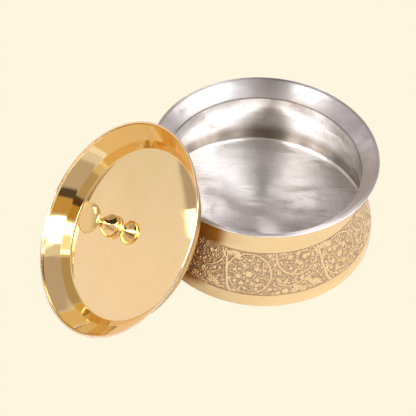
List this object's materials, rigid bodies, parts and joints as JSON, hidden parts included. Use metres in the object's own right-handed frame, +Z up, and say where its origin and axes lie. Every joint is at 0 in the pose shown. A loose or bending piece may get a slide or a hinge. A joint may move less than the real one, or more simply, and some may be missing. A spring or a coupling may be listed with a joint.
{
  "type": "serving bowl with lid",
  "caption": "Engraved brass serving bowl with a tinned inside and a dished brass lid with a turned knob, the lid leaning on the bowl's rim.",
  "frame": {"origin": "centre of the bowl's flat base, on the table", "axes": "+Z up along the bowl's axis; the lid leans on the rim from the -X -Y side"},
  "size_m": [0.295, 0.2808, 0.1372],
  "materials": {
    "brass": "polished, with a darkened engraved band on the bowl",
    "tin": "hand-wiped tin, softly scratched",
    "steel": "turned"
  },
  "bodies": {
    "bowl": {"bowl_body": "brass", "tin_lining": "tin"},
    "lid": {"lid_dish": "brass", "lid_knob": "brass", "knob_washer": "brass", "knob_screw": "steel"}
  },
  "joints": [
    {"name": "lid_lift", "type": "slide", "parent": "bowl", "child": "lid", "axis": [0, 0, 1], "range_m": [0, 0.12]}
  ]
}
